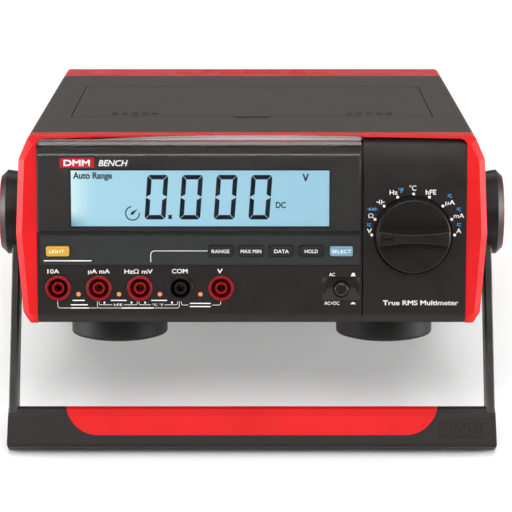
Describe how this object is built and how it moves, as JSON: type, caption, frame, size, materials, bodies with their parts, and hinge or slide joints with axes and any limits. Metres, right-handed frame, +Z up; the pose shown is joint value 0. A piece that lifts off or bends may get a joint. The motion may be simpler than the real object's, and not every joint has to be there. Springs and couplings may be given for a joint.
{
  "type": "bench multimeter",
  "caption": "Mains and battery bench multimeter standing on its swivel handle, with a wide display, keys, input jacks, a rotary selector and a lidded storage bin.",
  "frame": {"origin": "on the table, under the middle of the object's bounding box, as it stands on its handle and rear feet", "axes": "+X to the user's right, +Y from the front panel towards the back, +Z up; the case is tilted nose up by 14.81 degrees about X"},
  "size_m": [0.2612, 0.3268, 0.1705],
  "materials": {
    "bezel_red": "satin red plastic",
    "case_charcoal": "fine-textured charcoal plastic",
    "panel_charcoal": "fine-textured dark plastic",
    "lens_clear": "clear gloss plastic",
    "rubber_black": "matt rubber",
    "handle_grey": "satin dark grey plastic",
    "grip_red": "soft red overmould",
    "cap_red": "satin red plastic",
    "foot_dark": "matt dark plastic",
    "knob_dark": "satin dark plastic",
    "key_grey": "matt dark silicone",
    "key_orange": "matt orange silicone",
    "key_blue": "matt blue silicone",
    "button_grey": "satin dark plastic",
    "jack_red": "satin red plastic",
    "jack_black": "satin black plastic",
    "brass": "turned brass",
    "board_green": "solder-masked circuit board",
    "component_dark": "moulded black plastic",
    "lcd": "glossy display glass",
    "backlight": "milky acrylic",
    "panel_grey": "dark moulded plastic",
    "ribbon_grey": "flat cable",
    "fuse_body": "ceramic fuse bodies with metal ends",
    "cell_case": "printed metal cell jacket",
    "core_steel": "laminated steel",
    "winding": "taped copper winding",
    "steel": "plated steel",
    "boss_dark": "matt dark plastic"
  },
  "bodies": {
    "case": {"front_bezel": "bezel_red", "top_cover": "case_charcoal", "bottom_cover": "case_charcoal", "rear_bezel": "bezel_red", "rear_bumpers": "rubber_black", "rear_panel": "panel_grey", "display_fascia": "panel_charcoal", "selector_fascia": "panel_charcoal", "display_lens": "lens_clear", "keymat": "rubber_black", "acdc_switch": "component_dark", "lcd_glass": "lcd", "lcd_backlight": "backlight", "lcd_frame": "panel_grey", "display_board": "board_green", "main_board": "board_green", "board_components": "component_dark", "ribbon_cable": "ribbon_grey", "fuses": "fuse_body", "selector_board": "board_green", "jack_board": "board_green", "storage_bin": "panel_grey", "battery_box": "panel_grey", "battery_cells": "cell_case", "battery_door": "panel_grey", "transformer_core": "core_steel", "transformer_winding": "winding", "mains_inlet": "component_dark", "connector_pins": "brass", "power_switch": "component_dark", "serial_port": "steel", "usb_port": "steel", "feet": "foot_dark", "foot_pads": "rubber_black", "case_screws": "steel", "short_screws": "steel", "pivot_bosses": "boss_dark", "pivot_screws": "steel", "pivot_springs": "steel", "jack_sleeves_red": "jack_red", "jack_sleeve_com": "jack_black", "jack_sockets": "brass", "jack_shells_red": "jack_red", "jack_shell_com": "jack_black"},
    "handle": {"handle_frame": "handle_grey", "handle_grip": "grip_red", "hub_caps": "cap_red"},
    "lid": {"storage_lid": "case_charcoal"},
    "selector": {"selector_knob": "knob_dark", "selector_shaft": "steel", "selector_rotor": "panel_grey"},
    "acdc_push_button": {"acdc_button": "button_grey"},
    "rocker": {"power_rocker": "component_dark"},
    "key_light": {"key_light": "key_orange"},
    "key_range": {"key_range": "key_grey"},
    "key_maxmin": {"key_maxmin": "key_grey"},
    "key_serial": {"key_serial": "key_grey"},
    "key_hold": {"key_hold": "key_grey"},
    "key_select": {"key_select": "key_blue"}
  },
  "joints": [
    {"name": "handle_pivot", "type": "hinge", "parent": "case", "child": "handle", "pos_m": [0, -0.06874, 0.10083], "axis": [1, 0, 0], "range_deg": [-205, 0]},
    {"name": "lid_hinge", "type": "hinge", "parent": "case", "child": "lid", "pos_m": [0, 0.06548, 0.11592], "axis": [-1, 0, 0], "range_deg": [0, 100]},
    {"name": "selector_turn", "type": "hinge", "parent": "case", "child": "selector", "pos_m": [0.0791, -0.15041, 0.1245], "axis": [0, 0.9668, -0.2557], "range_deg": [0, 180]},
    {"name": "acdc_push", "type": "slide", "parent": "case", "child": "acdc_push_button", "axis": [0, 0.9668, -0.2557], "range_m": [0, 0.0025], "stiffness_N_per_m": 900},
    {"name": "rocker_tip", "type": "hinge", "parent": "case", "child": "rocker", "pos_m": [-0.028, 0.13466, 0.04859], "axis": [0, 0.2557, 0.9668], "range_deg": [-18, 0]},
    {"name": "key_light_press", "type": "slide", "parent": "case", "child": "key_light", "axis": [0, 0.9668, -0.2557], "range_m": [0, 0.001], "stiffness_N_per_m": 600},
    {"name": "key_range_press", "type": "slide", "parent": "case", "child": "key_range", "axis": [0, 0.9668, -0.2557], "range_m": [0, 0.001], "stiffness_N_per_m": 600},
    {"name": "key_maxmin_press", "type": "slide", "parent": "case", "child": "key_maxmin", "axis": [0, 0.9668, -0.2557], "range_m": [0, 0.001], "stiffness_N_per_m": 600},
    {"name": "key_serial_press", "type": "slide", "parent": "case", "child": "key_serial", "axis": [0, 0.9668, -0.2557], "range_m": [0, 0.001], "stiffness_N_per_m": 600},
    {"name": "key_hold_press", "type": "slide", "parent": "case", "child": "key_hold", "axis": [0, 0.9668, -0.2557], "range_m": [0, 0.001], "stiffness_N_per_m": 600},
    {"name": "key_select_press", "type": "slide", "parent": "case", "child": "key_select", "axis": [0, 0.9668, -0.2557], "range_m": [0, 0.001], "stiffness_N_per_m": 600}
  ]
}
